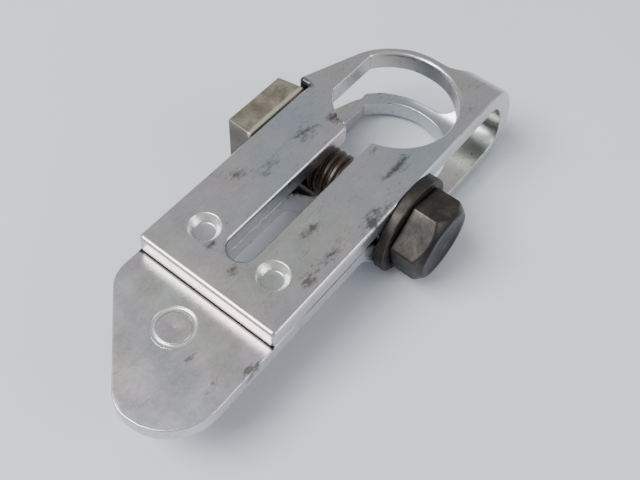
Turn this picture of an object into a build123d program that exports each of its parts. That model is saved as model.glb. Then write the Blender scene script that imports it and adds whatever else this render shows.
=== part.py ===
from build123d import *
import os

# Folded sheet-steel pinch clamp with a D-shaped bore, its cross bolt and a pinned tongue.
# Frame: millimetres, +Z up. The origin is on the bore axis, level with the lower leg's underside.
# +X runs towards the fold, -X towards the tongue, +Y towards the nut and -Y towards the bolt head.

# ---- M8 fasteners ----
thread_radius = 4.0
head_across_flats = 12.0     # small-series head
head_height = 5.5
head_turn = 15.0             # how far the head's flats are turned about the bolt axis
head_bevel_radius = 5.6      # where the 45 degree bevel starts on the end face
bolt_tip_past_nut = 0.5
bolt_tip_chamfer = 0.8
washer_radius = 8.0
washer_thickness = 1.7
washer_fit = 0.2             # radial clearance on the bolt
washer_chamfer = 0.3
nut_width = 13.0
nut_thickness = 4.8
nut_draft = 6.0              # degrees that its four sides lean in towards the outer face
nut_fit = 0.05               # radial clearance that stands for the thread's
nut_seat_gap = 0.7
nut_side_gap = 0.3           # between the nut's flat and the stop beside it
nut_thread_chamfer = 0.5

# ---- Sheet and fold ----
sheet = 3.2                  # plate thickness
bolt_room = 0.15             # clearance over and under the bolt, between the legs
seam_gap = 0.1               # air left where the two layers lie on each other
fold_inset = 0.3             # how far inside the bore's edge the fold begins
joggle_setback = 3.1         # from the bolt's axis to the foot of the slope that lifts the lower layer
joggle_run = 6.9             # length of that slope along X
joggle_radius = 4.0          # radius of its two bends, on the middle of the sheet

# ---- Plan of the legs ----
half_width = 12.0            # straight edges on both sides of the axis
upper_end_x = -43.8          # cut end of the upper layer
tongue_length = 18.6         # from that end to the tongue's tip
near_overhang = 1.2          # how far the lower leg stands out past the upper one, beside the fold
overhang_x = -3.8            # where that stands out in full
overhang_ramp = 1.4          # length of the step up to it
shoulder_x = -6.6            # stop that keeps the nut from turning
shoulder_height = 2.4        # how far it stands out past the straight edge
neck_x = 4.2                 # where the sloping shoulder meets the ring
upper_ring_wall = 1.5        # wall left around the bore at the ring's outside, upper leg
lower_ring_wall = 2.5        # the same on the lower leg
lower_neck_wall = 1.7        # and between the step in its outline and the neck
ring_step_x = 7.2            # where that step starts
ring_step_run = 1.3          # its length along X
strip_width = 7.3            # width of the strip that forms the fold, at the upper leg
upper_flare_radius = 3.0     # hollow corner from ring to strip, upper leg
lower_flare_radius = 3.2     # the same on the lower leg

# ---- Bore and slot ----
bore_radius = 9.8
bore_flat_y = 8.4            # distance from the axis to the bore's flat
slot_width = 4.4
slot_setback = 5.6           # from the upper layer's cut end to the closed end of the slot

# ---- Tongue ----
tip_corner_y = -1.6          # where the slanting edge meets the tip
tongue_slant = 0.9926        # run of that edge along X for each millimetre along Y
far_corner_radius = 5.0
tip_corner_radius = 5.0
near_corner_radius = 8.0

# ---- Clinched buttons that hold the two layers together ----
clinch_setback = 6.9         # from the upper layer's cut end
clinch_y = 6.1
clinch_mouth_radius = 2.3
clinch_floor_radius = 1.55
clinch_depth = 1.3
button_radius = 3.0
button_top_radius = 2.5
button_height = 1.0

# ---- Tongue pin ----
pin_setback = 5.9            # from the upper layer's cut end, on the tongue
pin_neck_radius = 2.4
pin_body_radius = 4.0
stake_radius = 3.2
stake_groove_depth = 0.3
pin_fit = 0.02               # radial clearance of the neck in the tongue
pin_chamfer = 0.6

# ---- Heights that follow ----
leg_gap = 2 * (thread_radius + bolt_room)
height = 2 * sheet + leg_gap
middle_z = height / 2
upper_floor_z = height - sheet
tongue_top_z = upper_floor_z - seam_gap
tongue_floor_z = tongue_top_z - sheet
fold_radius = (height - sheet) / 2

# ---- Places in plan that follow ----
fold_x = bore_radius - fold_inset
fold_end_x = fold_x + height / 2
bolt_x = shoulder_x - nut_side_gap - nut_width / 2
joggle_x = bolt_x - joggle_setback
tip_x = upper_end_x - tongue_length
pin_x = upper_end_x - pin_setback
clinch_x = upper_end_x + clinch_setback
slot_end_x = upper_end_x + slot_setback
shoulder_y = half_width + shoulder_height
upper_ring_radius = bore_radius + upper_ring_wall
lower_ring_radius = bore_radius + lower_ring_wall
lower_neck_radius = bore_radius + lower_neck_wall
strip_y = strip_width - half_width
tongue_corner_x = tip_x + tongue_slant * (half_width - tip_corner_y)
plan_margin = 3.0            # how far cutting shapes reach past the sheet


def leg_outline(ring_radius, flare_radius, neck_radius):
    """Plan of the sheet seen from above, with the tongue, shoulder, ring and fold strip."""
    near = -half_width
    out = near - near_overhang
    right = fold_end_x + plan_margin
    neck = (neck_x, (neck_radius**2 - neck_x**2) ** 0.5)
    step_top = (ring_step_x, (ring_radius**2 - ring_step_x**2) ** 0.5)
    step_foot_x = ring_step_x - ring_step_run
    step_foot = (step_foot_x, (neck_radius**2 - step_foot_x**2) ** 0.5)
    flare_top = (ring_radius, strip_y + flare_radius)
    flare_end = (ring_radius + flare_radius, strip_y)
    tongue_slope = (tongue_corner_x, half_width)
    Polyline((tip_x, tip_corner_y), (tip_x, near), (overhang_x - overhang_ramp, near))
    Polyline((overhang_x - overhang_ramp, near), (overhang_x, out), (right, out), (right, strip_y))
    Line((right, strip_y), flare_end)
    RadiusArc(flare_end, flare_top, flare_radius)
    Line(flare_top, (ring_radius, 0))
    if neck_radius < ring_radius:
        RadiusArc((ring_radius, 0), step_top, -ring_radius)
        Line(step_top, step_foot)
        RadiusArc(step_foot, neck, -neck_radius)
    else:
        RadiusArc((ring_radius, 0), neck, -ring_radius)
    Polyline(neck, (shoulder_x, shoulder_y), (shoulder_x, half_width), tongue_slope)
    Line(tongue_slope, (tip_x, tip_corner_y))


with BuildPart() as clamp_strap:
    # The folded ribbon, seen from the side, drawn out over the widest stretch of the sheet.
    with BuildSketch(Plane.XZ.offset(-shoulder_y)):
        with BuildLine() as ribbon:
            Line((upper_end_x, height - sheet / 2), (fold_x, height - sheet / 2))
            ThreePointArc(
                (fold_x, height - sheet / 2),
                (fold_x + fold_radius, middle_z),
                (fold_x, sheet / 2),
            )
            FilletPolyline(
                (fold_x, sheet / 2),
                (joggle_x, sheet / 2),
                (joggle_x - joggle_run, tongue_top_z - sheet / 2),
                (tip_x - plan_margin, tongue_top_z - sheet / 2),
                radius=joggle_radius,
            )
        trace(line_width=sheet)
    extrude(amount=shoulder_y + half_width + near_overhang)

    # Trim each half of the ribbon to the outline of its leg.
    for ring, flare, neck, reach in (
        (upper_ring_radius, upper_flare_radius, upper_ring_radius, middle_z + plan_margin),
        (lower_ring_radius, lower_flare_radius, lower_neck_radius, -middle_z - plan_margin),
    ):
        with BuildSketch(Plane.XY.offset(middle_z)) as scrap:
            with Locations(((tip_x + fold_end_x) / 2, 0)):
                Rectangle(fold_end_x - tip_x + 4 * plan_margin, 4 * half_width)
            with BuildLine():
                leg_outline(ring, flare, neck)
            make_face(mode=Mode.SUBTRACT)
        extrude(amount=reach, mode=Mode.SUBTRACT)

    # The near edge leans in from the lower leg to the upper one.
    with BuildSketch(Plane.YZ.offset(joggle_x - joggle_run)):
        with BuildLine():
            Polyline(
                (-half_width - near_overhang, sheet),
                (-half_width, upper_floor_z),
                (-half_width, height + plan_margin),
                (-half_width - 2 * plan_margin, height + plan_margin),
                (-half_width - 2 * plan_margin, sheet),
                close=True,
            )
        make_face()
    extrude(amount=fold_end_x + plan_margin - joggle_x + joggle_run, mode=Mode.SUBTRACT)

    # D-shaped bore through both legs, and the slot that lets it close.
    with BuildSketch():
        Circle(bore_radius)
        with Locations((0, bore_flat_y)):
            Rectangle(2 * bore_radius, bore_radius, align=(Align.CENTER, Align.MIN), mode=Mode.SUBTRACT)
        with Locations((slot_end_x + slot_width / 2, 0)):
            Circle(slot_width / 2)
            Rectangle(-slot_end_x - slot_width, slot_width, align=(Align.MIN, Align.CENTER))
    extrude(amount=height, mode=Mode.SUBTRACT)

    # Corners of the tongue.
    upright = clamp_strap.edges().filter_by(Axis.Z)
    fillet(upright.filter_by_position(Axis.X, tongue_corner_x - 0.1, tongue_corner_x + 0.1),
           far_corner_radius)
    tip_edges = clamp_strap.edges().filter_by(Axis.Z).filter_by_position(Axis.X, tip_x - 0.1, tip_x + 0.1)
    fillet(tip_edges.sort_by(Axis.Y)[0], near_corner_radius)
    tip_edges = clamp_strap.edges().filter_by(Axis.Z).filter_by_position(Axis.X, tip_x - 0.1, tip_x + 0.1)
    fillet(tip_edges.sort_by(Axis.Y)[-1], tip_corner_radius)

    # Clinched buttons: a recess pressed in from above, and a button pushed out below.
    with BuildSketch(Plane.XY.offset(tongue_floor_z)):
        with Locations((clinch_x, -clinch_y), (clinch_x, clinch_y)):
            Circle(button_radius)
    extrude(amount=upper_floor_z - tongue_floor_z)
    with Locations((clinch_x, -clinch_y, tongue_floor_z), (clinch_x, clinch_y, tongue_floor_z)):
        Cone(button_top_radius, button_radius, button_height, align=(Align.CENTER, Align.CENTER, Align.MAX))
    with Locations((clinch_x, -clinch_y, height), (clinch_x, clinch_y, height)):
        Cone(clinch_floor_radius, clinch_mouth_radius, clinch_depth,
             align=(Align.CENTER, Align.CENTER, Align.MAX), mode=Mode.SUBTRACT)

    # Hole for the pin, countersunk where the pin's end is spread.
    with Locations((pin_x, 0, tongue_top_z)):
        CounterSinkHole(pin_neck_radius + pin_fit, stake_radius + pin_fit, depth=sheet, counter_sink_angle=90)

clamp_strap.part.label = "clamp_strap"


with BuildPart() as tongue_pin:
    # Half section: body below the tongue, neck through it, end spread into the countersink.
    with BuildSketch(Plane((pin_x, 0, 0), x_dir=(1, 0, 0), z_dir=(0, -1, 0))):
        with BuildLine():
            Polyline(
                (0, 0),
                (pin_body_radius - pin_chamfer, 0),
                (pin_body_radius, pin_chamfer),
                (pin_body_radius, tongue_floor_z),
                (pin_neck_radius, tongue_floor_z),
                (pin_neck_radius, tongue_top_z - stake_radius + pin_neck_radius),
                (stake_radius, tongue_top_z),
                ((pin_neck_radius + stake_radius) / 2, tongue_top_z - stake_groove_depth),
                (pin_neck_radius, tongue_top_z),
                (0, tongue_top_z),
                close=True,
            )
        make_face()
    revolve(axis=Axis((pin_x, 0, 0), (0, 0, 1)))

tongue_pin.part.label = "tongue_pin"


# ---- Places along the bolt ----
washer_face_y = -half_width - washer_thickness
head_end_y = washer_face_y - head_height
nut_seat_y = half_width + nut_seat_gap
nut_end_y = nut_seat_y + nut_thickness
bolt_tip_y = nut_end_y + bolt_tip_past_nut


def across_bolt(y):
    """Plane at this Y, square to the bolt, facing the head's side."""
    return Plane((bolt_x, y, middle_z), x_dir=(1, 0, 0), z_dir=(0, -1, 0))


bolt_axis = Axis((bolt_x, 0, middle_z), (0, 1, 0))
# Half sections are drawn with local X outwards from the bolt axis and local Y along it.
along_bolt = Plane((bolt_x, 0, middle_z), x_dir=(1, 0, 0), z_dir=(0, 0, 1))

with BuildPart() as clamp_bolt:
    with BuildSketch(across_bolt(washer_face_y)):
        RegularPolygon(head_across_flats / 2, 6, major_radius=False, rotation=head_turn)
    extrude(amount=head_height)
    # The corners of the end face are turned off at 45 degrees.
    with BuildSketch(along_bolt):
        with BuildLine():
            Polyline(
                (head_bevel_radius, head_end_y),
                (2 * head_bevel_radius, head_end_y),
                (2 * head_bevel_radius, head_end_y + head_bevel_radius),
                close=True,
            )
        make_face()
    revolve(axis=bolt_axis, mode=Mode.SUBTRACT)
    with BuildSketch(along_bolt):
        with BuildLine():
            Polyline(
                (0, washer_face_y - head_height / 2),
                (thread_radius, washer_face_y - head_height / 2),
                (thread_radius, bolt_tip_y - bolt_tip_chamfer),
                (thread_radius - bolt_tip_chamfer, bolt_tip_y),
                (0, bolt_tip_y),
                close=True,
            )
        make_face()
    revolve(axis=bolt_axis)

clamp_bolt.part.label = "clamp_bolt"

with BuildPart() as bolt_washer:
    with BuildSketch(across_bolt(-half_width)):
        Circle(washer_radius)
        Circle(thread_radius + washer_fit, mode=Mode.SUBTRACT)
    extrude(amount=washer_thickness)
    chamfer(bolt_washer.edges().filter_by(GeomType.CIRCLE).sort_by(SortBy.RADIUS)[-2:], washer_chamfer)

bolt_washer.part.label = "bolt_washer"

with BuildPart() as square_nut:
    with BuildSketch(Plane((bolt_x, nut_seat_y, middle_z), x_dir=(1, 0, 0), z_dir=(0, 1, 0))):
        Rectangle(nut_width, nut_width)
    extrude(amount=nut_thickness, taper=nut_draft)
    with BuildSketch(across_bolt(nut_end_y)):
        Circle(thread_radius + nut_fit)
    extrude(amount=nut_thickness, mode=Mode.SUBTRACT)
    chamfer(square_nut.edges().filter_by(GeomType.CIRCLE).group_by(SortBy.RADIUS)[0], nut_thread_chamfer)

square_nut.part.label = "square_nut"


os.makedirs("parts", exist_ok=True)
export_step(clamp_strap.part, "parts/clamp_strap.step")
export_step(tongue_pin.part, "parts/tongue_pin.step")
export_step(clamp_bolt.part, "parts/clamp_bolt.step")
export_step(bolt_washer.part, "parts/bolt_washer.step")
export_step(square_nut.part, "parts/square_nut.step")
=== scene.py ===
"""Looks of a folded sheet-steel pinch clamp, its cross bolt, washer, square nut and tongue pin."""

import math

import bmesh
import bpy
from mathutils import Matrix, Vector


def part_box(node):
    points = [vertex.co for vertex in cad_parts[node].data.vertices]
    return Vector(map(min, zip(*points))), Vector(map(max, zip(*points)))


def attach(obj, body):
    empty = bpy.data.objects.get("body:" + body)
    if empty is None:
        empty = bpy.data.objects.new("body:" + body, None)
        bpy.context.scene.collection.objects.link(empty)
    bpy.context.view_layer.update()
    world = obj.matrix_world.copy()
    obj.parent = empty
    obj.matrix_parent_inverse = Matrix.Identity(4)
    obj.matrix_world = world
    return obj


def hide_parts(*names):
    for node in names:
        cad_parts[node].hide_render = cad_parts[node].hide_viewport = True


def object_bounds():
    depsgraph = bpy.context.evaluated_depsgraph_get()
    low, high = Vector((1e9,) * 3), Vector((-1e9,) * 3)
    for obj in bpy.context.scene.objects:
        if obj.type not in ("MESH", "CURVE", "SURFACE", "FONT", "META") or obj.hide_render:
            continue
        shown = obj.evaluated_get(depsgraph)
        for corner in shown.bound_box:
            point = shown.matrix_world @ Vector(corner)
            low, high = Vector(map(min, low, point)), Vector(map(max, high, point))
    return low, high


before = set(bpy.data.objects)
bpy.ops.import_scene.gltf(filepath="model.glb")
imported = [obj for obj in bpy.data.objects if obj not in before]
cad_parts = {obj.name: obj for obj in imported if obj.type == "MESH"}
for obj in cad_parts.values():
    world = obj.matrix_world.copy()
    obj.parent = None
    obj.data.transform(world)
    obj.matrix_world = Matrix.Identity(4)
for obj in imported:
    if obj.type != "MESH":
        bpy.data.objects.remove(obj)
CAD_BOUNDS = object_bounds()

MM = 0.001
TURN = 2 * math.pi

# ---------------------------------------------------------------- places read from the frame, mm
STRAP_LOW, STRAP_HIGH = (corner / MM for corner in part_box("clamp_strap"))
PIN_LOW, PIN_HIGH = (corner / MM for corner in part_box("tongue_pin"))
BOLT_LOW, BOLT_HIGH = (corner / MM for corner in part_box("clamp_bolt"))
WASHER_LOW, WASHER_HIGH = (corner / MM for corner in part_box("bolt_washer"))
NUT_LOW, NUT_HIGH = (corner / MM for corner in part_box("square_nut"))

HEIGHT = STRAP_HIGH.z
BOLT_X = (WASHER_LOW.x + WASHER_HIGH.x) / 2
BOLT_Z = (WASHER_LOW.z + WASHER_HIGH.z) / 2
PIN_X = (PIN_LOW.x + PIN_HIGH.x) / 2
PIN_TOP = PIN_HIGH.z

# ---------------------------------------------------------------- sizes of the strap, mm
SHEET = 3.2
SEAM_GAP = 0.1
UPPER_END_X = -43.8
FOLD_X = 9.5
JOGGLE_X = -16.5
JOGGLE_RUN = 6.9
JOGGLE_RADIUS = 4.0
HALF_WIDTH = 12.0
NEAR_OVERHANG = 1.2
OVERHANG_X = -3.8
OVERHANG_RAMP = 1.4
SHOULDER_X = -6.6
SHOULDER_Y = 14.4
NECK_X = 4.2
STRIP_Y = -4.7
UPPER_RING, UPPER_FLARE = 11.3, 3.0
LOWER_RING, LOWER_FLARE = 12.3, 3.2
LOWER_NECK_RING = 11.5       # the lower ring's outside, between the step and the neck
STEP_TOP_X, STEP_FOOT_X = 7.2, 5.9
BORE_RADIUS = 9.8
BORE_FLAT_Y = 8.4
SLOT_HALF = 2.2
SLOT_END_X = -38.2
TIP_X = STRAP_LOW.x
TIP_CORNER_Y = -1.6
TONGUE_CORNER_X = -48.9
CLINCH_X, CLINCH_Y = -36.9, 6.1
CLINCH_MOUTH, CLINCH_FLOOR, CLINCH_DEPTH = 2.3, 1.55, 1.3
BUTTON_RADIUS, BUTTON_TOP, BUTTON_HEIGHT = 3.0, 2.5, 1.0
STAKE_RADIUS, PIN_NECK = 3.2, 2.4
HOLE_ROOM = 0.02             # between the pin's neck and its hole
CORNER = 0.7                 # least rounding of a corner that stands out, in plan
FLAT_CORNER = 0.8            # at both ends of the bore's flat
NOTCH = 0.3                  # at the foot of the nut's shoulder
RAMP_CORNER = 0.5            # where the near overhang's ramp meets the straight edge
STEP_NOTCH = 0.4             # at the foot of the step in the lower ring
TIP_NEAR_CORNER, TIP_FAR_CORNER = 8.0, 5.0
ROLL_RADIUS = 0.62           # the blank's rolled edge: top of the upper leg, underside of the tongue
BURR_RADIUS = 0.2            # its sheared edge, on the other side


SEAM_Z = HEIGHT - SHEET - SEAM_GAP / 2

# ---------------------------------------------------------------- the folded path of the sheet
FOLD_RADIUS = (HEIGHT - SHEET) / 2
RISE = HEIGHT - 2 * SHEET - SEAM_GAP
SLOPE = math.atan2(RISE, JOGGLE_RUN)
CORNER_CUT = JOGGLE_RADIUS * math.tan(SLOPE / 2)
SLOPE_LENGTH = math.hypot(RISE, JOGGLE_RUN) - 2 * CORNER_CUT
TONGUE_START_X = JOGGLE_X - JOGGLE_RUN - CORNER_CUT
RUNS = [
    (FOLD_X - UPPER_END_X, 0.0),
    (math.pi * FOLD_RADIUS, -1 / FOLD_RADIUS),
    (FOLD_X - JOGGLE_X - CORNER_CUT, 0.0),
    (SLOPE * JOGGLE_RADIUS, -1 / JOGGLE_RADIUS),
    (SLOPE_LENGTH, 0.0),
    (SLOPE * JOGGLE_RADIUS, 1 / JOGGLE_RADIUS),
    (TONGUE_START_X - TIP_X, 0.0),
]
RUN_STARTS = [sum(length for length, _ in RUNS[:i]) for i in range(len(RUNS))]


def folded(s, y, h):
    """Where a point of the flat blank lies once folded: s along the sheet, h off its middle."""
    x, z, heading, left = UPPER_END_X, HEIGHT - SHEET / 2, 0.0, s
    for length, bend in RUNS:
        step = left if (length, bend) == RUNS[-1] else min(left, length)
        turn = bend * step
        if bend:
            x += (math.sin(heading + turn) - math.sin(heading)) / bend
            z -= (math.cos(heading + turn) - math.cos(heading)) / bend
        else:
            x += step * math.cos(heading)
            z += step * math.sin(heading)
        heading += turn
        left -= step
        if left <= 0:
            break
    return x - h * math.sin(heading), y, z + h * math.cos(heading)


def on_upper(x):
    """Place along the blank of a point at x on the upper leg."""
    return x - UPPER_END_X


def on_lower(x):
    """The same on the lower leg's flat."""
    return RUN_STARTS[2] + FOLD_X - x


def on_tongue(x):
    """The same on the lower layer beyond the joggle, and on the tongue."""
    return RUN_STARTS[6] + TONGUE_START_X - x


# ---------------------------------------------------------------- flat loops
def arc(cx, cy, radius, start, end, pieces):
    """Points on an arc, both ends included, angles in degrees."""
    angles = [math.radians(start + (end - start) * i / pieces) for i in range(pieces + 1)]
    return [(cx + radius * math.cos(a), cy + radius * math.sin(a), 0.0) for a in angles]


def rounded(corners, pieces=6):
    """Closed loop of points from (x, y, radius) corners, each rounded with that radius."""
    loop = []
    count = len(corners)
    for i, (x, y, radius) in enumerate(corners):
        here = Vector((x, y))
        if radius == 0.0:
            loop.append(here)
            continue
        before = (Vector(corners[i - 1][:2]) - here).normalized()
        after = (Vector(corners[(i + 1) % count][:2]) - here).normalized()
        half = before.angle(after) / 2
        centre = here + (before + after).normalized() * radius / math.sin(half)
        start = here + before * radius / math.tan(half) - centre
        sweep = math.pi - 2 * half
        if before.x * after.y - before.y * after.x > 0:
            sweep = -sweep
        for k in range(pieces + 1):
            loop.append(centre + Matrix.Rotation(sweep * k / pieces, 2) @ start)
    return loop


def strap_outline():
    """Outline of the flat blank, anticlockwise, from the upper layer's cut end round the tongue."""
    near = -HALF_WIDTH
    out = near - NEAR_OVERHANG
    fold_steps = 16
    fold_edge = []
    for k in range(1, fold_steps):
        z = HEIGHT / 2 + FOLD_RADIUS * math.cos(math.pi * k / fold_steps)
        lean = min(max((HEIGHT - SHEET - z) / (HEIGHT - 2 * SHEET), 0.0), 1.0)
        place = RUN_STARTS[1] + RUNS[1][0] * k / fold_steps
        fold_edge.append((place, near - NEAR_OVERHANG * lean, 0.0))
    upper_centre = on_upper(0)
    lower_centre = on_lower(0)
    upper_neck = math.degrees(math.acos(NECK_X / UPPER_RING))
    lower_neck = math.degrees(math.acos(NECK_X / LOWER_NECK_RING))
    foot = math.degrees(math.acos(STEP_FOOT_X / LOWER_NECK_RING))
    top = math.degrees(math.acos(STEP_TOP_X / LOWER_RING))
    clear = 6.0              # degrees of ring left out on each side of the step
    lower_ring = arc(0, 0, LOWER_NECK_RING, lower_neck, foot + clear, 3)
    lower_ring.append((STEP_FOOT_X, LOWER_NECK_RING * math.sin(math.radians(foot)), STEP_NOTCH))
    lower_ring.append((STEP_TOP_X, LOWER_RING * math.sin(math.radians(top)), CORNER))
    lower_ring += arc(0, 0, LOWER_RING, top - clear, 0, 20)
    lower_ring = [(lower_centre - x, y, radius) for x, y, radius in lower_ring]
    corners = [(0, near, CORNER)]
    corners += fold_edge
    corners += [
        (on_lower(OVERHANG_X), out, CORNER),
        (on_lower(OVERHANG_X - OVERHANG_RAMP), near, RAMP_CORNER),
        (on_tongue(TIP_X), near, TIP_NEAR_CORNER),
        (on_tongue(TIP_X), TIP_CORNER_Y, TIP_FAR_CORNER),
        (on_tongue(TONGUE_CORNER_X), HALF_WIDTH, TIP_FAR_CORNER),
        (on_lower(SHOULDER_X), HALF_WIDTH, NOTCH),
        (on_lower(SHOULDER_X), SHOULDER_Y, CORNER),
    ]
    corners += lower_ring
    corners += [
        (lower_centre - LOWER_RING, STRIP_Y, LOWER_FLARE),
        (upper_centre + UPPER_RING, STRIP_Y, UPPER_FLARE),
    ]
    corners += arc(upper_centre, 0, UPPER_RING, 0, upper_neck, 24)
    corners += [
        (on_upper(SHOULDER_X), SHOULDER_Y, CORNER),
        (on_upper(SHOULDER_X), HALF_WIDTH, NOTCH),
        (0, HALF_WIDTH, CORNER),
    ]
    return rounded(corners)


def bore_and_slot(centre, slot_length, side):
    """D-shaped bore with its slot. side is 1 where the slot runs back along the blank, else -1."""
    mouth = math.degrees(math.asin(SLOT_HALF / BORE_RADIUS))
    flat = math.degrees(math.asin(BORE_FLAT_Y / BORE_RADIUS))
    end = -slot_length + SLOT_HALF
    points = arc(end, 0, SLOT_HALF, 90, 270, 20)
    bore = arc(0, 0, BORE_RADIUS, 180 + mouth, 360 + flat, 72)
    bore[0] = (*bore[0][:2], CORNER)
    bore[-1] = (*bore[-1][:2], FLAT_CORNER)
    far = arc(0, 0, BORE_RADIUS, 180 - flat, 180 - mouth, 16)
    far[0] = (*far[0][:2], FLAT_CORNER)
    far[-1] = (*far[-1][:2], CORNER)
    loop = rounded(points + bore + far)
    loop = [Vector((centre + side * p.x, p.y)) for p in loop]
    return loop[::-1] if side > 0 else loop


def circle(cx, cy, radius, pieces=48):
    """Clockwise circle, for a hole."""
    return [
        Vector((cx + radius * math.cos(-TURN * i / pieces), cy + radius * math.sin(-TURN * i / pieces)))
        for i in range(pieces)
    ]


def inset(loop, distance):
    """The loop moved towards its left side, where the material is."""
    moved = []
    for i, here in enumerate(loop):
        before = (here - loop[i - 1]).normalized()
        after = (loop[(i + 1) % len(loop)] - here).normalized()
        left = Vector((-before.y - after.y, before.x + after.x)).normalized()
        stretch = max(left.dot(Vector((-after.y, after.x))), 0.5)
        moved.append(here + left * distance / stretch)
    return moved


def cleaned(loop, shortest=0.02):
    """The loop without points that lie on each other."""
    return [p for i, p in enumerate(loop) if (p - loop[i - 1]).length > shortest]


# ---------------------------------------------------------------- mesh helpers
def ring_of(bm, loop, h):
    return [bm.verts.new((p.x, p.y, h)) for p in loop]


def join_rings(bm, lower, upper):
    """Quads between two rings of equal length."""
    count = len(lower)
    for i in range(count):
        j = (i + 1) % count
        bm.faces.new((lower[i], lower[j], upper[j], upper[i]))


def stack(bm, rings):
    for lower, upper in zip(rings, rings[1:]):
        join_rings(bm, lower, upper)


def edges_of(bm, ring):
    return [bm.edges.get((ring[i - 1], ring[i])) or bm.edges.new((ring[i - 1], ring[i]))
            for i in range(len(ring))]


def edge_profile(roll, burr, thickness, pieces=6):
    """(inset, height) pairs up the cut edge of a sheet, sheared below and rolled above."""
    steps = [math.pi / 2 * k / pieces for k in range(pieces + 1)]
    low = [(burr * (1 - math.sin(a)), -thickness / 2 + burr * (1 - math.cos(a))) for a in steps]
    high = [(roll * (1 - math.cos(a)), thickness / 2 - roll * (1 - math.sin(a))) for a in steps]
    return low + high


def new_object(name, bm, smooth=True):
    """Turns a mesh in mm into an object in metres, with normals weighted by face area."""
    bmesh.ops.recalc_face_normals(bm, faces=bm.faces)
    mesh = bpy.data.meshes.new(name)
    bm.to_mesh(mesh)
    bm.free()
    mesh.transform(Matrix.Scale(MM, 4))
    for polygon in mesh.polygons:
        polygon.use_smooth = smooth
    piece = bpy.data.objects.new(name, mesh)
    bpy.context.scene.collection.objects.link(piece)
    weighted = piece.modifiers.new("weighted", "WEIGHTED_NORMAL")
    weighted.weight = 80
    weighted.keep_sharp = True
    return piece


def build_strap():
    """The whole strap: a flat blank with rolled edges, cut across its bends and then folded."""
    bm = bmesh.new()
    top, bottom = SHEET / 2, -SHEET / 2
    profile = edge_profile(ROLL_RADIUS, BURR_RADIUS, SHEET)
    clinch_bottom, button_end = top - CLINCH_DEPTH, top + BUTTON_HEIGHT
    top_rings, bottom_rings = [], []
    loops = [
        cleaned(strap_outline()),
        cleaned(bore_and_slot(on_upper(0), -SLOT_END_X, 1)),
        cleaned(bore_and_slot(on_lower(0), on_tongue(SLOT_END_X) - on_lower(0), -1)),
    ]
    for loop in loops:
        rings = [ring_of(bm, inset(loop, d), h) for d, h in profile]
        stack(bm, rings)
        bottom_rings.append(rings[0])
        top_rings.append(rings[-1])

    for y in (-CLINCH_Y, CLINCH_Y):
        # The recess in the upper leg, from its rolled mouth to its floor.
        steps = [
            (CLINCH_MOUTH + 0.16, top), (CLINCH_MOUTH + 0.06, top - 0.03),
            (CLINCH_MOUTH - 0.02, top - 0.12), (CLINCH_FLOOR + 0.12, clinch_bottom + 0.14),
            (CLINCH_FLOOR + 0.03, clinch_bottom + 0.03), (CLINCH_FLOOR - 0.1, clinch_bottom),
            (0.7, clinch_bottom),
        ]
        rings = [ring_of(bm, circle(on_upper(CLINCH_X), y, r), h) for r, h in steps]
        stack(bm, rings)
        bm.faces.new(rings[-1])
        top_rings.append(rings[0])
        # The button under the lower layer, from its root to its flat end.
        steps = [
            (BUTTON_RADIUS + 0.15, top), (BUTTON_RADIUS, top + 0.08),
            (BUTTON_TOP + 0.12, button_end - 0.12), (BUTTON_TOP - 0.05, button_end),
            (1.0, button_end),
        ]
        rings = [ring_of(bm, circle(on_tongue(CLINCH_X), y, r), h) for r, h in steps]
        stack(bm, rings)
        bm.faces.new(rings[-1])
        top_rings.append(rings[0])

    # Countersunk hole of the pin, its wide end on the tongue's top.
    steps = [
        (STAKE_RADIUS + 0.06, bottom), (STAKE_RADIUS - 0.02, bottom + 0.05),
        (PIN_NECK + HOLE_ROOM, bottom + STAKE_RADIUS - PIN_NECK), (PIN_NECK + HOLE_ROOM, top),
    ]
    rings = [ring_of(bm, circle(on_tongue(PIN_X), 0, r, 64), h) for r, h in steps]
    stack(bm, rings)
    bottom_rings.append(rings[0])
    top_rings.append(rings[-1])

    for group in (top_rings, bottom_rings):
        edges = [edge for ring in group for edge in edges_of(bm, ring)]
        bmesh.ops.triangle_fill(bm, use_beauty=True, use_dissolve=False, edges=edges)

    # Cut lines across the bends, so that the sheet folds smoothly.
    bend_step = math.radians(4)
    for start, (length, bend) in zip(RUN_STARTS, RUNS):
        if not bend:
            continue
        cuts = max(int(abs(bend) * length / bend_step), 2)
        for k in range(cuts + 1):
            bmesh.ops.bisect_plane(
                bm, geom=bm.verts[:] + bm.edges[:] + bm.faces[:], dist=1e-4,
                plane_co=(start + length * k / cuts, 0, 0), plane_no=(1, 0, 0),
            )
    # The fold's outermost line stays inside the frame's box, which facets make a hair smaller.
    for vert in bm.verts:
        vert.co = folded(*vert.co)
        vert.co.x = min(vert.co.x, STRAP_HIGH.x)
    return new_object("strap_skin", bm)


def lathe(name, profile, origin, axis, pieces=96):
    """Turned piece from (radius, distance along axis) pairs, closed or with both ends on the axis."""
    bm = bmesh.new()
    frame_of_axis = Vector((0, 0, 1)).rotation_difference(Vector(axis)).to_matrix()
    rings = []
    for radius, along in profile:
        if radius == 0:
            rings.append([bm.verts.new(frame_of_axis @ Vector((0, 0, along)) + Vector(origin))])
            continue
        rings.append([
            bm.verts.new(frame_of_axis @ Vector((radius * math.cos(TURN * i / pieces),
                                                 radius * math.sin(TURN * i / pieces), along))
                         + Vector(origin))
            for i in range(pieces)
        ])
    for a, b in zip(rings, rings[1:]):
        for i in range(pieces):
            j = (i + 1) % pieces
            quad = (a[i % len(a)], a[j % len(a)], b[j % len(b)], b[i % len(b)])
            bm.faces.new(tuple(dict.fromkeys(quad)))
    bmesh.ops.remove_doubles(bm, verts=bm.verts, dist=1e-5)
    return new_object(name, bm)


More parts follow.
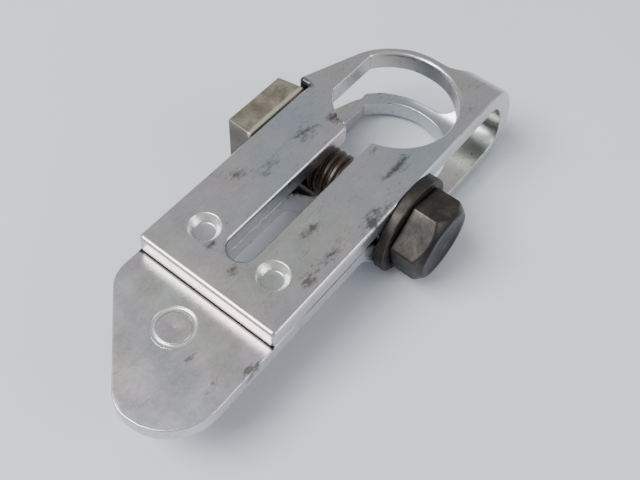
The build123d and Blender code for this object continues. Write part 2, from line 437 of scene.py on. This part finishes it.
def flats(sides, apothem, corner, turned, pieces):
    """Outline of a regular polygon with rounded corners, as points about its middle."""
    along_side = 12
    outline = []
    for side in range(sides):
        corner_at = turned + TURN * (side + 0.5) / sides
        reach = (apothem - corner) / math.cos(math.pi / sides)
        centre = Vector((reach * math.cos(corner_at), reach * math.sin(corner_at)))
        for k in range(pieces + 1):
            a = corner_at - math.pi / sides + TURN / sides * k / pieces
            point = centre + Vector((math.cos(a), math.sin(a))) * corner
            outline.append(point)
        next_corner = corner_at + TURN / sides
        next_centre = Vector((reach * math.cos(next_corner), reach * math.sin(next_corner)))
        a = corner_at + math.pi / sides
        begin = outline[-1].copy()
        finish = next_centre + Vector((math.cos(a), math.sin(a))) * corner
        for k in range(1, along_side):
            outline.append(begin.lerp(finish, k / along_side))
    return outline


# ---------------------------------------------------------------- fasteners
THREAD_RADIUS = 4.0
PITCH = 1.25
THREAD_DEPTH = 0.5
CREST_SHARE, FLANK_SHARE = 0.34, 0.6   # of half a pitch
TIP_CHAMFER = 0.8
THREAD_ROOM = 0.05           # the bolt's crest inside the thread's radius, and the nut's bore outside
PLAIN_SHANK = 4.0            # under the washer, before the thread starts
HEAD_ACROSS_FLATS = 12.0
HEAD_TURN = math.radians(15)
HEAD_BEVEL_RADIUS = 5.6
HEAD_CORNER, HEAD_EDGE = 0.5, 0.4
HEAD_DISH = (4.7, 0.35)      # shallow hollow in the head's end: its radius and depth
WASHER_HOLE_ROOM, WASHER_EDGE = 0.2, 0.28
NUT_CORNER, NUT_EDGE = 0.35, 0.35
NUT_LEAN = 0.0776            # how far the nut's sides come in by its outer face, as a share
NUT_COUNTERSINK = 0.5        # its depth at each face
NUT_MOUTH_ROOM = 0.45        # how much wider the bore is at each face
PIN_CHAMFER = 0.6
GROOVE_DEPTH = 0.13          # of the ring pressed into the pin's spread end
WASHER_FACE_Y = WASHER_LOW.y


def along_bolt(p, y):
    """A point at p off the bolt's axis, y along it."""
    return BOLT_X + p.x, y, BOLT_Z + p.y


def prism(outline, y_bearing, y_end, edge, hole=0.0, bevel_radius=math.inf, lean=0.0, dish=None):
    """Rings of a prism with flats, from its end face's middle to its bearing face's.

    edge is the rounding of its edges, bevel_radius where a 45 degree bevel starts on the end face,
    lean how far the flats come in by the end, as a share, and dish a hollow's radius and depth.
    """
    out = 1 if y_end > y_bearing else -1
    height = abs(y_end - y_bearing)

    def bevel_drop(r):
        return max(r - bevel_radius, 0)

    def bevel_start(r):
        return min(bevel_radius, r - edge)

    start = hole or 0.02
    stations = []
    if dish:
        mouth, depth = dish
        for share in (0.0, 0.3, 0.55, 0.75, 0.88, 0.96, 1.0, 1.05):
            fall = depth * (1 - min(share, 1) ** 4)
            stations.append((lambda r, reach=max(mouth * share, start): reach, lambda r, fall=fall: fall))
    else:
        stations += [
            (lambda r: start, lambda r: 0),
            (lambda r: 0.6 * bevel_start(r) + 0.4 * start, lambda r: 0),
        ]
    stations += [
        (lambda r: bevel_start(r) - 0.6 * edge, lambda r: 0),
        (lambda r: bevel_start(r) - 0.2 * edge, lambda r: 0.03 * edge),
        (lambda r: bevel_start(r) + 0.1 * edge, lambda r: 0.18 * edge),
        (lambda r: r - 0.55 * edge, lambda r: bevel_drop(r - 0.55 * edge) + 0.1 * edge),
        (lambda r: r - 0.2 * edge, lambda r: bevel_drop(r) + 0.2 * edge),
        (lambda r: r - 0.03 * edge, lambda r: bevel_drop(r) + 0.6 * edge),
        (lambda r: r, lambda r: bevel_drop(r) + edge),
        (lambda r: r, lambda r: height - edge),
        (lambda r: r - 0.08 * edge, lambda r: height - 0.45 * edge),
        (lambda r: r - 0.35 * edge, lambda r: height - 0.12 * edge),
        (lambda r: r - 0.8 * edge, lambda r: height),
        (lambda r: start, lambda r: height),
    ]
    rings = []
    for radius_at, drop_at in stations:
        ring = []
        for p in outline:
            drop = drop_at(p.length)
            radius = radius_at(p.length)
            if radius > start:
                radius *= 1 - lean * (1 - drop / height) * min(radius / p.length, 1)
            ring.append(along_bolt(p * radius / p.length, y_end - out * drop))
        rings.append(ring)
    return rings


def thread_radius_at(angle, y, outer, depth):
    """Radius of a right-hand thread with flat crests and rounded roots."""
    phase = (y / PITCH + angle / TURN) % 1.0
    rise = abs(phase - 0.5) * 2
    flank = min(max((rise - CREST_SHARE) / FLANK_SHARE, 0.0), 1.0)
    return outer - depth * (flank * flank * (3 - 2 * flank) * 0.5 + flank * 0.5)


def threaded_shank(bm, y_start, y_end, y_run_out):
    """The bolt's threaded shank from under the head to its chamfered tip."""
    around, rows_per_pitch = 72, 18
    count = int((y_end - y_start) / PITCH * rows_per_pitch)
    rings = []
    for row in range(count + 1):
        y = y_start + (y_end - y_start) * row / count
        ring = []
        cap = THREAD_RADIUS - THREAD_ROOM - max(y - (y_end - TIP_CHAMFER), 0.0)
        fade = min(max((y - y_run_out) / PITCH, 0.0), 1.0)
        for i in range(around):
            a = TURN * i / around
            r = min(thread_radius_at(a, y, THREAD_RADIUS - THREAD_ROOM, THREAD_DEPTH * fade), cap)
            ring.append(bm.verts.new(along_bolt(Vector((r * math.cos(a), r * math.sin(a))), y)))
        rings.append(ring)
    stack(bm, rings)
    bm.faces.new(rings[0])
    bm.faces.new(rings[-1])


def rings_to_mesh(bm, rings):
    return [[bm.verts.new(place) for place in ring] for ring in rings]


def build_bolt():
    bm = bmesh.new()
    outline = flats(6, HEAD_ACROSS_FLATS / 2, HEAD_CORNER, HEAD_TURN, 5)
    rings = rings_to_mesh(bm, prism(outline, WASHER_FACE_Y, BOLT_LOW.y, HEAD_EDGE,
                                    bevel_radius=HEAD_BEVEL_RADIUS, dish=HEAD_DISH))
    stack(bm, rings)
    bm.faces.new(rings[0])
    bm.faces.new(rings[-1])
    inside_head = 1.0
    threaded_shank(bm, WASHER_FACE_Y - inside_head, BOLT_HIGH.y, WASHER_FACE_Y + PLAIN_SHANK)
    return new_object("bolt_skin", bm)


def build_washer():
    radius = (WASHER_HIGH.x - WASHER_LOW.x) / 2
    thick = WASHER_HIGH.y - WASHER_LOW.y
    hole, edge = THREAD_RADIUS + WASHER_HOLE_ROOM, WASHER_EDGE
    half = [
        (hole, 0.0), (radius - edge, 0.0), (radius - edge * 0.3, edge * 0.12),
        (radius - edge * 0.08, edge * 0.4), (radius, edge),
    ]
    profile = half + [(r, thick - along) for r, along in reversed(half)] + half[:1]
    return lathe("washer_skin", profile, (BOLT_X, WASHER_LOW.y, BOLT_Z), (0, 1, 0))


def build_nut():
    bm = bmesh.new()
    outline = flats(4, (NUT_HIGH.x - NUT_LOW.x) / 2, NUT_CORNER, 0.0, 5)
    faces = prism(outline, NUT_LOW.y, NUT_HIGH.y, NUT_EDGE,
                  hole=THREAD_RADIUS + NUT_MOUTH_ROOM, lean=NUT_LEAN)

    def wall(y):
        return [along_bolt(p.normalized() * (THREAD_RADIUS + THREAD_ROOM), y) for p in outline]

    walls = [wall(NUT_LOW.y + NUT_COUNTERSINK), wall(NUT_HIGH.y - NUT_COUNTERSINK)]
    rings = rings_to_mesh(bm, faces + walls)
    stack(bm, rings + rings[:1])
    return new_object("nut_skin", bm)


def build_pin():
    """Body under the tongue, and the end spread into the countersink with a pressed ring."""
    low = 0.0
    top = PIN_TOP
    floor = top - SHEET
    body, chamfer = (PIN_HIGH.x - PIN_LOW.x) / 2, PIN_CHAMFER
    profile = [
        (0.0, low), (body - chamfer, low), (body - chamfer * 0.3, low + 0.18), (body, low + chamfer),
        (body, floor - 0.12), (body - 0.12, floor), (PIN_NECK, floor),
        (PIN_NECK, top - STAKE_RADIUS + PIN_NECK), (STAKE_RADIUS - 0.09, top - 0.09),
        (STAKE_RADIUS - 0.04, top - 0.03), (STAKE_RADIUS - 0.07, top),
    ]
    groove = (STAKE_RADIUS - 0.1 + PIN_NECK) / 2
    half = STAKE_RADIUS - 0.1 - groove
    profile += [
        (groove + half * math.cos(math.pi * k / 12), top - GROOVE_DEPTH * math.sin(math.pi * k / 12) ** 0.8)
        for k in range(13)
    ]
    profile += [(PIN_NECK - 0.12, top), (0.3, top), (0.12, top - 0.02), (0.0, top - 0.04)]
    return lathe("pin_skin", profile, (PIN_X, 0, 0), (0, 0, 1))


strap = build_strap()
pin = build_pin()
bolt = build_bolt()
washer = build_washer()
nut = build_nut()


# ---------------------------------------------------------------- materials
SCRATCH = (0.24, 0.24, 0.24)
SCUFF = (0.06, 0.056, 0.052)
# The next three colours are painted shade, a painted rosy reflection and a painted highlight.
PAINTED_SHADE = (0.03, 0.028, 0.026)
ROSY_REFLECTION = (0.80, 0.66, 0.68)
PAINTED_HIGHLIGHT = (0.93, 0.92, 0.88)
ALL_THROUGH = 50.0           # reach in mm of a mark that goes through the whole part


class Nodes:
    """A material's node tree, with short ways to add the nodes used here."""

    def __init__(self, name):
        self.material = bpy.data.materials.new(name)
        self.material.use_nodes = True
        self.tree = self.material.node_tree
        self.shader = self.tree.nodes["Principled BSDF"]
        self.where = self.tree.nodes.new("ShaderNodeTexCoord").outputs["Object"]

    def link(self, source, target):
        self.tree.links.new(source, target)

    def noise(self, scale, detail=3.0, roughness=0.5, distortion=0.0, where=None):
        node = self.tree.nodes.new("ShaderNodeTexNoise")
        node.inputs["Scale"].default_value = scale
        node.inputs["Detail"].default_value = detail
        node.inputs["Roughness"].default_value = roughness
        node.inputs["Distortion"].default_value = distortion
        self.link(where or self.where, node.inputs["Vector"])
        return node.outputs["Fac"]

    def ramp(self, source, stops):
        """Colour ramp from (position, colour or grey) stops."""
        node = self.tree.nodes.new("ShaderNodeValToRGB")
        elements = node.color_ramp.elements
        while len(elements) < len(stops):
            elements.new(0.5)
        for element, (place, colour) in zip(elements, stops):
            element.position = place
            rgb = colour if isinstance(colour, tuple) else (colour,) * 3
            element.color = (*rgb, 1.0)
        self.link(source, node.inputs["Fac"])
        return node.outputs["Color"]

    def math(self, operation, first, second):
        node = self.tree.nodes.new("ShaderNodeMath")
        node.operation = operation
        for socket, value in zip(node.inputs, (first, second)):
            if isinstance(value, (int, float)):
                socket.default_value = value
            else:
                self.link(value, socket)
        return node.outputs[0]

    def mix(self, kind, factor, first, second):
        """Blends two colours, each a socket or an (r, g, b) value."""
        node = self.tree.nodes.new("ShaderNodeMix")
        node.data_type = "RGBA"
        node.blend_type = kind
        for name, value in (("Factor", factor), ("A", first), ("B", second)):
            socket = next(s for s in node.inputs
                          if s.enabled and s.name == name and (s.type == "RGBA" or name == "Factor"))
            if isinstance(value, (int, float)):
                socket.default_value = value
            elif isinstance(value, tuple):
                socket.default_value = (*value, 1.0)
            else:
                self.link(value, socket)
        return next(s for s in node.outputs if s.type == "RGBA" and s.enabled)

    def spot(self, x, y, z, reach_x, reach_y, reach_z):
        """1 at a place given in mm, falling to 0 at its reaches."""
        mapping = self.tree.nodes.new("ShaderNodeMapping")
        mapping.vector_type = "TEXTURE"
        mapping.inputs["Location"].default_value = (x * MM, y * MM, z * MM)
        mapping.inputs["Scale"].default_value = (reach_x * MM, reach_y * MM, reach_z * MM)
        self.link(self.where, mapping.inputs["Vector"])
        node = self.tree.nodes.new("ShaderNodeTexGradient")
        node.gradient_type = "SPHERICAL"
        self.link(mapping.outputs["Vector"], node.inputs["Vector"])
        return node.outputs["Fac"]

    def stretched(self, turn, scale):
        """Coordinates turned about Z and scaled unevenly."""
        node = self.tree.nodes.new("ShaderNodeMapping")
        node.inputs["Rotation"].default_value = (0, 0, turn)
        node.inputs["Scale"].default_value = scale
        self.link(self.where, node.inputs["Vector"])
        return node.outputs["Vector"]

    def bump(self, height, strength, distance, before=None):
        node = self.tree.nodes.new("ShaderNodeBump")
        node.inputs["Strength"].default_value = strength
        node.inputs["Distance"].default_value = distance
        self.link(height, node.inputs["Height"])
        if before:
            self.link(before, node.inputs["Normal"])
        return node.outputs["Normal"]

    def finish(self, colour, roughness, normal, metallic):
        self.shader.inputs["Metallic"].default_value = metallic
        self.link(colour, self.shader.inputs["Base Color"])
        self.link(roughness, self.shader.inputs["Roughness"])
        self.link(normal, self.shader.inputs["Normal"])
        return self.material


def zinc_plate(name, spots, painted_shade_places=(), rosy_reflection_place=None, highlight_rings=()):
    """Bright zinc with faint interference tints, dulled grain, and rubbed-in dirt at the spots.

    The third argument lists places darkened with painted shade, the fourth one place with a painted
    rosy reflection, and the fifth pressed rings given a painted highlight, by place, inner and outer
    radius in mm.
    """
    n = Nodes(name)
    tint = n.ramp(n.noise(60, 1.5, 0.4, 0.5), [
        (0.30, (0.515, 0.56, 0.62)), (0.42, (0.565, 0.585, 0.60)), (0.50, (0.62, 0.58, 0.605)),
        (0.57, (0.615, 0.60, 0.565)), (0.68, (0.555, 0.61, 0.575)),
    ])
    fine = n.ramp(n.noise(2400, 5, 0.7), [(0.3, 0.88), (0.5, 1.0), (0.7, 1.06)])
    colour = n.mix("MULTIPLY", 0.8, tint, fine)
    scratched = n.noise(1.0, 3, 0.6, where=n.stretched(0.4, (70, 2600, 900)))
    scratches = n.ramp(scratched, [(0.63, 0.0), (0.67, 1.0)])
    # Dirt is denser where a spot lifts the two noises over the ramp's start.
    patch = n.spot(*spots[0])
    for place in spots[1:]:
        patch = n.math("MAXIMUM", patch, n.spot(*place))
    coarse = n.math("MULTIPLY", n.noise(300, 5, 0.6, 0.8, n.stretched(0.1, (0.7, 1.5, 1))), 0.45)
    speck = n.math("MULTIPLY", n.noise(1300, 8, 0.8, 0.0, n.stretched(0.1, (0.8, 1.3, 1))), 0.55)
    mask = n.math("ADD", n.math("ADD", coarse, speck), n.math("MULTIPLY", patch, 0.195))
    dirt = n.ramp(mask, [(0.565, 0.0), (0.61, 0.4), (0.68, 0.95)])
    # Painted rosy reflection, strongest at its place.
    if rosy_reflection_place:
        rosy = n.math("MULTIPLY", n.spot(*rosy_reflection_place), 0.8)
        colour = n.mix("MIX", rosy, colour, ROSY_REFLECTION)
    # Painted highlights, near white, in rings over the pressed rings.
    soft = 0.12              # mm over which a ring's band fades at each side
    for place, inner, outer in highlight_rings:
        reach = outer * 1.25
        band = n.ramp(n.spot(*place, reach, reach, ALL_THROUGH), [
            (1 - outer / reach, 0.0), (1 - (outer - soft) / reach, 1.0),
            (1 - (inner + soft) / reach, 1.0), (1 - inner / reach, 0.0),
        ])
        colour = n.mix("MIX", n.math("MULTIPLY", band, 0.75), colour, PAINTED_HIGHLIGHT)
    colour = n.mix("MIX", n.math("MULTIPLY", scratches, 0.22), colour, SCRATCH)
    colour = n.mix("MIX", n.math("MULTIPLY", dirt, 0.9), colour, SCUFF)
    # Painted shade, near black, at each listed place.
    for place in painted_shade_places:
        shaded = n.ramp(n.spot(*place), [(0.0, 0.0), (0.45, 1.0)])
        colour = n.mix("MIX", n.math("MULTIPLY", shaded, 0.93), colour, PAINTED_SHADE)
    rough = n.ramp(n.noise(300, 5, 0.6), [(0.3, 0.25), (0.7, 0.36)])
    rough = n.math("ADD", rough, n.math("MULTIPLY", dirt, 0.25))
    normal = n.bump(n.noise(120, 2), 0.45, 0.00010)
    normal = n.bump(n.noise(3200, 4, 0.6), 0.2, 0.000015, normal)
    normal = n.bump(scratched, 0.1, 0.00001, normal)
    return n.finish(colour, rough, normal, 1.0)


def dark_oxide(name, low, middle, high, rough_low, rough_high, marks=()):
    """Chemically darkened steel, mottled, with marks of painted light and shade as (place, share, colour).
    """
    n = Nodes(name)
    colour = n.ramp(n.noise(320, 6, 0.62, 0.5), [(0.32, low), (0.5, middle), (0.68, high)])
    grain = n.ramp(n.noise(3000, 3, 0.6), [(0.3, 0.75), (0.7, 1.15)])
    colour = n.mix("MULTIPLY", 0.7, colour, grain)
    # Each mark paints light or shade: its colour, faded out from its place.
    for place, share, shade in marks:
        painted_mark = n.ramp(n.spot(*place), [(0.0, 0.0), (0.4, share)])
        colour = n.mix("MIX", painted_mark, colour, shade)
    rough = n.ramp(n.noise(500, 4), [(0.3, rough_low), (0.7, rough_high)])
    normal = n.bump(n.noise(900, 5, 0.6), 0.4, 0.00004)
    return n.finish(colour, rough, normal, 0.85)


SPOT_DEPTH = 3.0             # mm up and down from the face that a scuff lies on
UPPER_SCUFFS = [             # x, y, reach in x and reach in y on the upper leg, mm
    (-15.5, 6, 5, 2.5), (-9.5, 5, 3, 1.5), (-27.5, 9, 3, 1.5), (-22.5, 6, 3, 1.5),
    (-38.5, 3.3, 2.2, 1.2), (-28, -5.5, 3.5, 1.6), (-34.5, -10, 3.5, 1.6), (-29, -10, 4, 1.6),
    (-21, -11, 6, 1.8), (-11, -8, 5, 1.4), (-10.5, -3.5, 2.5, 1.3), (-39.5, -1.5, 1.8, 1),
]
TONGUE_SCUFFS = [            # the same on the tongue
    (-52.5, -9.5, 3, 1.6), (-51.5, -4.5, 2.5, 1), (-48, -11.5, 2.5, 1),
]
zinc = zinc_plate(
    "zinc_plate_finish",
    [(x, y, HEIGHT, reach_x, reach_y, SPOT_DEPTH) for x, y, reach_x, reach_y in UPPER_SCUFFS]
    + [(x, y, PIN_TOP, reach_x, reach_y, SPOT_DEPTH) for x, y, reach_x, reach_y in TONGUE_SCUFFS],
    # Painted shade in the seam between the layers, and on the shoulder's end where it dulls a glint.
    painted_shade_places=[
        (UPPER_END_X, 0, SEAM_Z, 0.5, 40, 0.33),                 # painted shade in the seam at the cut end
        (-30.5, -HALF_WIDTH, SEAM_Z, 14.5, 0.5, 0.3),            # painted shade in the seam along the near edge
        (SHOULDER_X, 13.2, HEIGHT - 1.4, 1.0, 2.6, 3.4),         # painted shade on the shoulder's end beside the nut
    ],
    # Painted rosy reflection on the upper layer's cut end.
    rosy_reflection_place=(UPPER_END_X, -2, SEAM_Z + 1.2, 3.2, 16, 3.4),
    # Painted highlights on the rims of the two clinch recesses.
    highlight_rings=[((CLINCH_X, -CLINCH_Y, HEIGHT), 1.7, 2.45), ((CLINCH_X, CLINCH_Y, HEIGHT), 1.7, 2.45)],
)
pin_finish = zinc_plate(
    "pin_zinc_finish",
    [(PIN_X, -3, 0, 3, 3, 2)],
    # Painted highlight on the ring pressed into the pin's spread end.
    highlight_rings=[((PIN_X, 0, PIN_TOP), 2.5, 3.3)],
)
bolt_finish = dark_oxide(
    "bolt_oxide_finish", (0.03, 0.03, 0.032), (0.06, 0.055, 0.05), (0.11, 0.09, 0.07), 0.36, 0.52,
    marks=[
        ((BOLT_X, 0, BOLT_Z, 8, 11, 8), 0.7, (0.105, 0.085, 0.066)),              # painted light: the thread lighter and browner than the head
        ((BOLT_X, BOLT_LOW.y, BOLT_Z, 9, 1.2, 9), 0.9, (0.02, 0.02, 0.025)),      # painted shade on the head's end
    ],
)
washer_finish = dark_oxide(
    "washer_oxide_finish", (0.03, 0.029, 0.026), (0.05, 0.046, 0.04), (0.08, 0.07, 0.058), 0.42, 0.58,
)
nut_finish = dark_oxide(
    "nut_phosphate_finish", (0.19, 0.17, 0.13), (0.29, 0.265, 0.205), (0.38, 0.35, 0.28), 0.4, 0.55,
    marks=[
        ((NUT_LOW.x, 15, BOLT_Z, 1.4, 9, 9), 0.8, (0.07, 0.068, 0.066)),          # painted shade on the nut's left side
        ((BOLT_X, NUT_LOW.y, NUT_HIGH.z, 14, 0.9, 1.2), 0.75, (0.62, 0.60, 0.48)),  # painted highlight along the nut's near top edge
    ],
)

for piece, body, node, slot, finish in (
    (strap, "strap", "clamp_strap", "zinc_plate", zinc),
    (pin, "strap", "tongue_pin", "pin_zinc", pin_finish),
    (bolt, "bolt", "clamp_bolt", "black_oxide", bolt_finish),
    (washer, "washer", "bolt_washer", "washer_oxide", washer_finish),
    (nut, "nut", "square_nut", "phosphate", nut_finish),
):
    piece.data.materials.append(finish)
    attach(piece, body)
    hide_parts(node)


# ---------------------------------------------------------------- floor, light and camera
FLOOR_HALF_SIZE = 1500       # mm
LIT_POINT = Vector((-0.02, 0, 0))
KEY_DIRECTION = (-0.47, 0.31, 0.83)
FILL_DIRECTION = (0.3, -0.9, 0.5)
WORLD_COLOUR, WORLD_STRENGTH = (0.55, 0.56, 0.58, 1.0), 0.85
CAMERA_PLACE = Vector((-80.8, -42.5, 108.0)) * MM
CAMERA_TARGET = Vector((-24.7, -4.8, 8.0)) * MM
CAMERA_ROLL = math.radians(-5.16)
LENS, SENSOR = 46.6, 36.0    # mm


def plain_floor():
    """Pale floor level with the part's lowest point."""
    bm = bmesh.new()
    bmesh.ops.create_grid(bm, x_segments=2, y_segments=2, size=FLOOR_HALF_SIZE)
    floor = new_object("floor", bm, smooth=False)
    floor.location.z = CAD_BOUNDS[0][2]
    n = Nodes("floor_finish")
    shade = n.ramp(n.noise(14, 3), [(0.3, (0.66, 0.69, 0.74)), (0.7, (0.70, 0.73, 0.78))])
    n.shader.inputs["Roughness"].default_value = 0.85
    n.link(shade, n.shader.inputs["Base Color"])
    floor.data.materials.append(n.material)


def soft_box(name, direction, distance, width, height, power):
    """White area light facing the part from a direction: sizes in metres, power in watts."""
    light = bpy.data.lights.new(name, "AREA")
    light.shape = "RECTANGLE"
    light.size, light.size_y = width, height
    light.energy = power
    lamp = bpy.data.objects.new(name, light)
    away = Vector(direction).normalized()
    lamp.location = LIT_POINT + away * distance
    lamp.rotation_euler = away.to_track_quat("Z", "Y").to_euler()
    bpy.context.scene.collection.objects.link(lamp)


def camera():
    """Camera from above the near left, with the tongue towards it."""
    forward = (CAMERA_TARGET - CAMERA_PLACE).normalized()
    right = forward.cross(Vector((0, 0, 1))).normalized()
    up = right.cross(forward)
    tilted_up = up * math.cos(CAMERA_ROLL) + right * math.sin(CAMERA_ROLL)
    tilted_right = forward.cross(tilted_up)
    data = bpy.data.cameras.new("photo_view")
    data.lens, data.sensor_width = LENS, SENSOR
    data.clip_start, data.clip_end = 0.005, 10.0
    holder = bpy.data.objects.new("photo_view", data)
    turned = Matrix((tilted_right, tilted_up, -forward)).transposed().to_4x4()
    holder.matrix_world = Matrix.Translation(CAMERA_PLACE) @ turned
    bpy.context.scene.collection.objects.link(holder)
    bpy.context.scene.camera = holder


plain_floor()
soft_box("key", KEY_DIRECTION, 0.6, 0.35, 0.35, 5.0)
soft_box("fill", FILL_DIRECTION, 0.7, 0.4, 0.3, 1.7)
world = bpy.data.worlds.new("studio")
bpy.context.scene.world = world
world.use_nodes = True
backdrop = world.node_tree.nodes["Background"]
backdrop.inputs["Color"].default_value = WORLD_COLOUR
backdrop.inputs["Strength"].default_value = WORLD_STRENGTH
camera()
